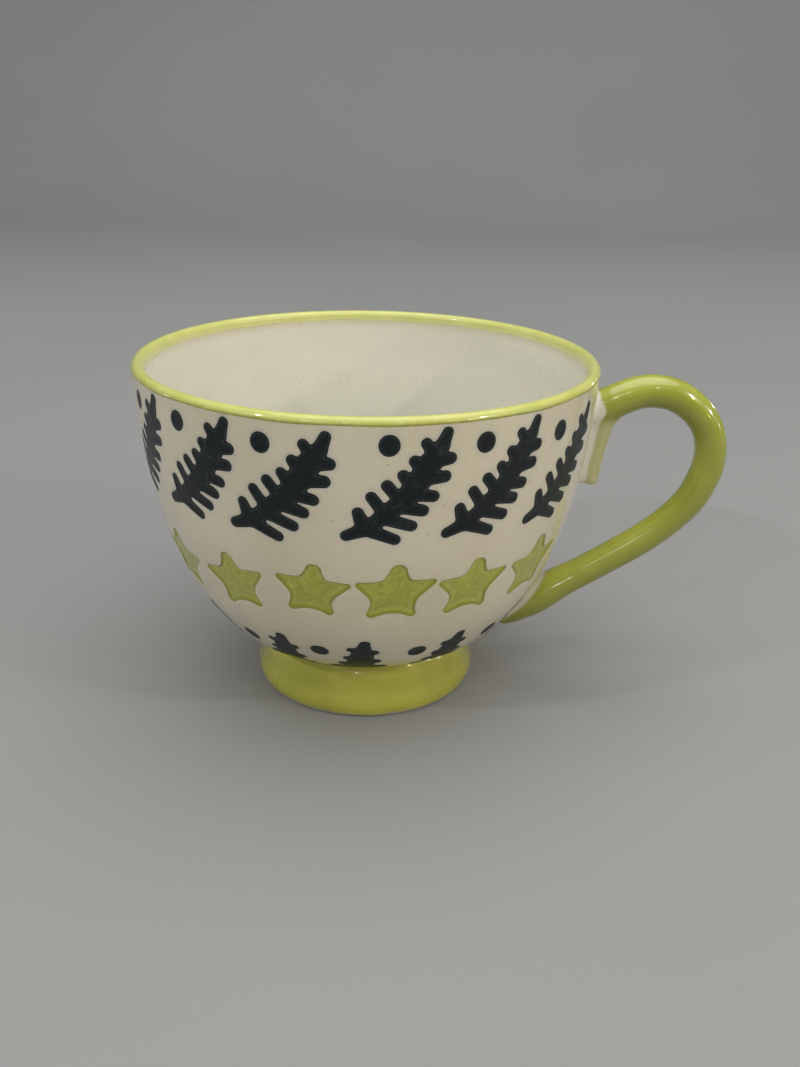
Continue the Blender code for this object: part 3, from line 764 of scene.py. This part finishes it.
def build_handle(material):
    """Splits the handle's skin into the pulled rod and two slip joints, with one smooth shade over all three."""
    skin = handle_body()
    points = read_rows(skin.vertices, "co", 3, np.float32).astype(float)
    normals = np.array([vertex.normal for vertex in skin.vertices])
    reach, slip_reach, green = handle_share(points)
    faces = [tuple(polygon.vertices) for polygon in skin.polygons]
    face_reach = np.array([(reach[list(face)] - slip_reach[list(face)]).mean() for face in faces])
    face_z = np.array([points[list(face), 2].mean() / MM for face in faces])
    buried = np.array([reach[list(face)].max() < -PATCH_SINK / 2 for face in faces])
    in_slip = face_reach < 0
    high = face_z > SLIP_SPLIT_Z
    groups = [("pulled_handle", "handle", "handle_glaze", ~in_slip),
              ("upper_joint", "upper_slip_joint", "slip", in_slip & high & ~buried),
              ("lower_joint", "lower_slip_joint", "slip", in_slip & ~high & ~buried)]
    for name, node, slot, chosen in groups:
        used, kept = renumbered([faces[index] for index in np.flatnonzero(chosen)])
        # The "thick" mark is painted shade: the skin is darker where it faces sideways and down, and lightest on top.
        marks = {"green": green[used], "thick": ramp(-normals[used, 2], -0.9, 0.8)}
        piece = add_piece(name, points[used], kept, [material], [node], marks, sharp=180.0)
        piece.data.normals_split_custom_set_from_vertices([tuple(normal) for normal in normals[used]])
    bpy.data.meshes.remove(skin)


# ---------------- materials

class Look:
    """Short calls that build one material's nodes round its Principled shader."""

    def __init__(self, name, **plain):
        self.material = bpy.data.materials.new(name)
        self.material.use_nodes = True
        self.tree = self.material.node_tree
        self.shader = self.tree.nodes["Principled BSDF"]
        for socket, value in plain.items():
            self.shader.inputs[socket.replace("_", " ")].default_value = value
        self.place = self.node("ShaderNodeTexCoord").outputs["Object"]

    def node(self, kind, inputs=None, **settings):
        made = self.tree.nodes.new(kind)
        for setting, value in settings.items():
            setattr(made, setting, value)
        for socket, value in (inputs or {}).items():
            if isinstance(value, bpy.types.NodeSocket):
                self.tree.links.new(value, made.inputs[socket])
            else:
                made.inputs[socket].default_value = value
        return made

    def noise(self, scale, detail=3.0, roughness=0.5, distortion=0.0):
        inputs = {"Vector": self.place, "Scale": scale, "Detail": detail, "Roughness": roughness,
                  "Distortion": distortion}
        return self.node("ShaderNodeTexNoise", inputs).outputs["Fac"]

    def mark(self, name):
        return self.node("ShaderNodeAttribute", attribute_name=name).outputs["Fac"]

    def span(self, value, low, high, to_low=0.0, to_high=1.0):
        """The value's range from low to high, smoothly mapped to another range."""
        inputs = {"Value": value, "From Min": low, "From Max": high, "To Min": to_low, "To Max": to_high}
        return self.node("ShaderNodeMapRange", inputs, interpolation_type="SMOOTHSTEP").outputs["Result"]

    def math(self, operation, a, b=0.0):
        return self.node("ShaderNodeMath", {0: a, 1: b}, operation=operation).outputs[0]

    def times(self, a, b):
        return self.math("MULTIPLY", a, b)

    def mix(self, share, a, b):
        """Two colours or colour sockets mixed by a share."""
        a, b = ((*color, 1.0) if isinstance(color, tuple) else color for color in (a, b))
        return self.node("ShaderNodeMix", {0: share, 6: a, 7: b}, data_type="RGBA").outputs[2]

    def color(self, socket):
        self.tree.links.new(socket, self.shader.inputs["Base Color"])

    def roughness(self, socket):
        self.tree.links.new(socket, self.shader.inputs["Roughness"])

    def bump(self, height, strength, distance):
        made = self.node("ShaderNodeBump", {"Height": height, "Strength": strength, "Distance": distance})
        self.tree.links.new(made.outputs["Normal"], self.shader.inputs["Normal"])


def specks(look, scale, size, share):
    """Small round spots, one in some of the cells of a grid of random points."""
    cell = look.node("ShaderNodeTexVoronoi", {"Vector": look.place, "Scale": scale})
    near = look.span(cell.outputs["Distance"], size * 0.6, size, 1.0, 0.0)
    luck = look.node("ShaderNodeSeparateColor", {"Color": cell.outputs["Color"]}).outputs[0]
    return look.times(near, look.math("GREATER_THAN", luck, 1 - share))


CREAM = (0.76, 0.69, 0.51)
CREAM_SHADE = (0.71, 0.635, 0.455)
CREAM_STIPPLE = (0.45, 0.40, 0.30)
CREAM_INSIDE = (0.83, 0.80, 0.685)
# A darker, greener cream that is painted shade deep inside the cup
CREAM_DEEP_SHADE = (0.62, 0.63, 0.535)
CREAM_HALO = (0.40, 0.43, 0.45)
IRON_SMALL, IRON_LARGE = (0.16, 0.12, 0.08), (0.10, 0.075, 0.055)
SLIP = (0.80, 0.76, 0.63)
LIP_LIME, LIP_LIME_PALE = (0.68, 0.70, 0.17), (0.75, 0.76, 0.22)
LIP_THIN, LIP_OLIVE = (0.88, 0.87, 0.50), (0.30, 0.32, 0.03)
LIME = (0.47, 0.51, 0.06)
LIME_THICK = (0.40, 0.43, 0.04)
# Painted shade on the handle's sides and underside
LIME_UNDERSIDE_SHADE = (0.25, 0.265, 0.018)
LIME_OVER_SLIP = (0.54, 0.53, 0.26)
GREEN_SPECK = (0.12, 0.12, 0.02)
FOOT_LIME, FOOT_LIME_THICK, FOOT_BASE = (0.50, 0.495, 0.05), (0.43, 0.425, 0.035), (0.55, 0.54, 0.16)
CLAY, CLAY_DARK, CLAY_GRIT = (0.66, 0.60, 0.46), (0.52, 0.45, 0.33), (0.2, 0.15, 0.1)
CHARCOAL, CHARCOAL_STROKE = (0.003, 0.007, 0.008), (0.0105, 0.0155, 0.017)
CHARCOAL_WORN, CHARCOAL_LINE, CHARCOAL_RIM = (0.055, 0.066, 0.070), (0.040, 0.048, 0.051), (0.003, 0.005, 0.006)
STAR_PALE, STAR_DEEP, STAR_CLOUD = (0.50, 0.51, 0.07), (0.37, 0.375, 0.03), (0.42, 0.42, 0.04)
STAR_CREST, STAR_POOLED, STAR_PIT = (0.60, 0.61, 0.17), (0.26, 0.29, 0.016), (0.22, 0.25, 0.02)
FLOOR_PALE, FLOOR_SHADE = (0.35, 0.35, 0.345), (0.335, 0.335, 0.33)


def cream_glaze():
    look = Look("cream_glaze_surface", Roughness=0.3, Coat_Weight=0.75, Coat_Roughness=0.05)
    cloud = look.span(look.noise(38.0, 4.0, 0.55), 0.35, 0.7)
    color = look.mix(cloud, CREAM, CREAM_SHADE)
    fine = look.span(look.noise(1400.0, 2.0), 0.55, 0.75, 0.0, 0.16)
    color = look.mix(fine, color, CREAM_STIPPLE)
    inside_and_deep_shade = look.mark("inside_and_deep_shade")
    color = look.mix(look.span(inside_and_deep_shade, 0.0, 1.0), color, CREAM_INSIDE)
    # Painted shade, growing deeper down inside the cup.
    color = look.mix(look.span(inside_and_deep_shade, 1.0, 2.0), color, CREAM_DEEP_SHADE)
    halo = look.times(look.mark("halo"), look.span(look.noise(260.0), 0.25, 0.75, 0.25, 0.6))
    color = look.mix(halo, color, CREAM_HALO)
    color = look.mix(look.times(specks(look, 330.0, 0.07, 0.35), 0.75), color, IRON_SMALL)
    color = look.mix(look.times(specks(look, 90.0, 0.035, 0.5), 0.85), color, IRON_LARGE)
    look.color(color)
    look.roughness(look.span(look.noise(60.0), 0.3, 0.7, 0.24, 0.36))
    ripple = look.math("ADD", look.noise(120.0, 2.0), look.times(look.noise(900.0, 1.0), 0.12))
    look.bump(ripple, 0.12, 0.0006)
    return look.material


def lip_glaze():
    look = Look("lip_glaze_surface", Roughness=0.3, Coat_Weight=0.55, Coat_Roughness=0.04)
    cloud = look.span(look.noise(150.0, 3.0), 0.35, 0.68)
    color = look.mix(cloud, LIP_LIME, LIP_LIME_PALE)
    color = look.mix(look.times(look.mark("thin"), 0.8), color, LIP_THIN)
    edge = look.times(look.span(look.mark("olive"), 0.0, 0.9), look.span(look.noise(500.0), 0.3, 0.7, 0.6, 0.95))
    look.color(look.mix(edge, color, LIP_OLIVE))
    look.bump(look.noise(260.0, 2.0), 0.1, 0.0005)
    return look.material


def handle_glaze():
    look = Look("handle_glaze_surface", Roughness=0.22, Coat_Weight=0.9, Coat_Roughness=0.045)
    cloud = look.span(look.noise(70.0, 4.0, 0.6, 0.6), 0.38, 0.66)
    green = look.mix(cloud, LIME, LIME_THICK)
    green = look.mix(look.times(specks(look, 160.0, 0.05, 0.4), 0.7), green, GREEN_SPECK)
    # Painted shade: darker where the handle faces sideways and down, from the "thick" mark.
    green = look.mix(look.times(look.mark("thick"), 0.88), green, LIME_UNDERSIDE_SHADE)
    thin = look.span(look.mark("green"), 0.05, 0.65)
    thick = look.span(look.mark("green"), 0.45, 1.0)
    color = look.mix(thin, SLIP, LIME_OVER_SLIP)
    look.color(look.mix(thick, color, green))
    look.bump(look.noise(90.0, 2.0), 0.1, 0.0008)
    return look.material


def foot_glaze():
    look = Look("foot_glaze_surface", Roughness=0.2, Coat_Weight=1.0, Coat_Roughness=0.04)
    cloud = look.span(look.noise(55.0, 4.0, 0.6, 0.8), 0.36, 0.68)
    color = look.mix(cloud, FOOT_LIME, FOOT_LIME_THICK)
    height = look.node("ShaderNodeSeparateXYZ", {"Vector": look.place}).outputs["Z"]
    color = look.mix(look.span(height, 0.0008, 0.0022, 0.6, 0.0), color, FOOT_BASE)
    look.color(look.mix(look.times(specks(look, 200.0, 0.06, 0.3), 0.6), color, GREEN_SPECK))
    look.bump(look.noise(75.0, 2.0), 0.14, 0.001)
    return look.material


def bare_clay():
    look = Look("bare_clay_surface", Roughness=0.85)
    cloud = look.span(look.noise(420.0, 5.0, 0.65), 0.35, 0.7)
    color = look.mix(cloud, CLAY, CLAY_DARK)
    look.color(look.mix(specks(look, 700.0, 0.1, 0.3), color, CLAY_GRIT))
    look.bump(look.noise(1500.0, 3.0), 0.4, 0.0002)
    return look.material


def brushed(look, scale):
    """Streaks that run along the leaf, from the motif's own coordinates."""
    along = look.math("ADD", look.mark("across"), look.mark("rise"))
    over = look.math("SUBTRACT", look.mark("rise"), look.mark("across"))
    place_in_leaf = look.node("ShaderNodeCombineXYZ", {"X": look.times(along, 0.16), "Y": over})
    moved = look.node("ShaderNodeVectorMath", {0: place_in_leaf.outputs[0], 1: look.place}, operation="ADD")
    inputs = {"Vector": moved.outputs[0], "Scale": scale, "Detail": 5.0, "Roughness": 0.65, "Distortion": 0.5}
    return look.node("ShaderNodeTexNoise", inputs).outputs["Fac"]


def dark_glaze():
    look = Look("charcoal_glaze_surface", Roughness=0.42, Specular_IOR_Level=0.28, Coat_Weight=0.08,
                Coat_Roughness=0.1)
    streak = brushed(look, 1.9)
    color = look.mix(look.span(streak, 0.44, 0.64), CHARCOAL, CHARCOAL_STROKE)
    worn = look.times(look.span(look.noise(190.0, 4.0, 0.6), 0.5, 0.72), look.span(streak, 0.45, 0.68))
    color = look.mix(look.times(worn, 0.8), color, CHARCOAL_WORN)
    depth = look.mark("depth")
    line = look.times(look.span(depth, 0.12, 0.3), look.span(depth, 0.42, 0.7, 1.0, 0.0))
    color = look.mix(look.times(line, 0.55), color, CHARCOAL_LINE)
    look.color(look.mix(look.span(depth, 0.05, 0.28, 0.9, 0.0), color, CHARCOAL_RIM))
    look.roughness(look.span(streak, 0.35, 0.75, 0.34, 0.55))
    look.bump(streak, 0.16, 0.0003)
    return look.material


def star_glaze():
    look = Look("star_glaze_surface", Roughness=0.3, Coat_Weight=0.6, Coat_Roughness=0.08)
    mottle = look.noise(620.0, 4.0, 0.65, 1.2)
    color = look.mix(look.span(mottle, 0.38, 0.62), STAR_PALE, STAR_DEEP)
    cloud = look.span(look.noise(160.0, 3.0), 0.4, 0.7, 0.0, 0.6)
    color = look.mix(cloud, color, STAR_CLOUD)
    depth, lower = look.mark("depth"), look.mark("lower")
    crest = look.times(look.span(lower, 0.7, 1.15), look.span(lower, 1.3, 2.0, 1.0, 0.0))
    color = look.mix(look.times(crest, 0.3), color, STAR_CREST)
    pooled = look.math("MAXIMUM", look.span(depth, 0.2, 0.55, 0.8, 0.0), look.span(lower, 0.2, 0.8, 0.85, 0.0))
    color = look.mix(pooled, color, STAR_POOLED)
    pits = specks(look, 900.0, 0.16, 0.5)
    look.color(look.mix(look.times(pits, 0.35), color, STAR_PIT))
    look.bump(mottle, 0.45, 0.0005)
    return look.material


# ---------------- studio

def build_floor():
    """A plain pale sweep: flat under the mug, curving up far behind it."""
    flat, bend, wall_top, wide = 1.1, 0.5, 1.6, 3.0
    side = [(-2.0, 0.0), (flat, 0.0)]
    side += [(flat + bend * math.sin(turn), bend - bend * math.cos(turn))
             for turn in np.linspace(0.1, math.pi / 2, 15)]
    side.append((flat + bend, wall_top + bend))
    points = [(x, y, z) for y, z in side for x in (-wide, wide)]
    faces = [(2 * i, 2 * i + 1, 2 * i + 3, 2 * i + 2) for i in range(len(side) - 1)]
    mesh = bpy.data.meshes.new("floor")
    mesh.from_pydata(points, [], faces)
    mesh.shade_smooth()
    look = Look("floor_surface", Roughness=0.6)
    look.color(look.mix(look.span(look.noise(3.0), 0.3, 0.7), FLOOR_PALE, FLOOR_SHADE))
    mesh.materials.append(look.material)
    add_object("floor", mesh)


def build_world():
    """An even dome, brighter overhead than at the horizon."""
    world = bpy.data.worlds.new("studio")
    bpy.context.scene.world = world
    world.use_nodes = True
    tree = world.node_tree
    direction = tree.nodes.new("ShaderNodeTexCoord").outputs["Generated"]
    height = tree.nodes.new("ShaderNodeSeparateXYZ")
    tree.links.new(direction, height.inputs[0])
    shades = tree.nodes.new("ShaderNodeValToRGB")
    tree.links.new(height.outputs["Z"], shades.inputs["Fac"])
    for stop, position, color in zip(shades.color_ramp.elements, (0.0, 0.9), (HORIZON, ZENITH)):
        stop.position, stop.color = position, color
    back = tree.nodes["Background"]
    back.inputs["Strength"].default_value = DOME_STRENGTH
    tree.links.new(shades.outputs["Color"], back.inputs["Color"])


def add_light(name, position, size, power, color):
    data = bpy.data.lights.new(name, "AREA")
    data.shape = "DISK"
    data.size = size
    data.energy = power
    data.color = color
    light = add_object(name, data)
    light.location = position
    light.rotation_euler = (Vector(LAMP_AIM) - light.location).to_track_quat("-Z", "Y").to_euler()
    light.visible_camera = False


def build_lights():
    """A wide soft box overhead, and the room's small bright lamps, which give the glaze its glints."""
    add_light("softbox", SOFTBOX, SOFTBOX_SIZE, SOFTBOX_POWER, WHITE)
    for number, (heading, height, size, power, color) in enumerate(LAMPS):
        turn, above = math.radians(heading), math.radians(height)
        toward = Vector((math.sin(turn) * math.cos(above), math.cos(turn) * math.cos(above), math.sin(above)))
        add_light(f"lamp_{number:02d}", toward * LAMP_DISTANCE, size, power, color)


def build_camera():
    pan, pitch, roll = (math.radians(angle) for angle in (CAMERA_PAN, CAMERA_PITCH, CAMERA_ROLL))
    forward = Vector((math.sin(pan) * math.cos(pitch), math.cos(pan) * math.cos(pitch), -math.sin(pitch)))
    level = Vector((math.cos(pan), -math.sin(pan), 0.0))
    upright = level.cross(forward)
    right = math.cos(roll) * level + math.sin(roll) * upright
    upward = -math.sin(roll) * level + math.cos(roll) * upright
    turn = Matrix.Rotation(math.radians(CAMERA_TURN), 3, "Z")
    aim = Matrix((turn @ right, turn @ upward, turn @ -forward)).transposed().to_4x4()
    aim.translation = turn @ Vector((0.0, -CAMERA_DISTANCE, CAMERA_HEIGHT)) + Vector((AXIS_X * MM, 0.0, 0.0))
    data = bpy.data.cameras.new("camera")
    data.sensor_width = SENSOR_WIDTH
    data.lens = LENS
    data.clip_start = 0.01
    camera = add_object("camera", data)
    camera.matrix_world = aim
    bpy.context.scene.camera = camera


def main():
    build_camera()
    build_bowl(cream_glaze())
    build_lip_band(lip_glaze())
    build_foot(foot_glaze(), bare_clay())
    build_handle(handle_glaze())
    build_pattern(dark_glaze(), star_glaze())
    build_floor()
    build_world()
    build_lights()
    bpy.context.scene.view_settings.view_transform = "Standard"


main()
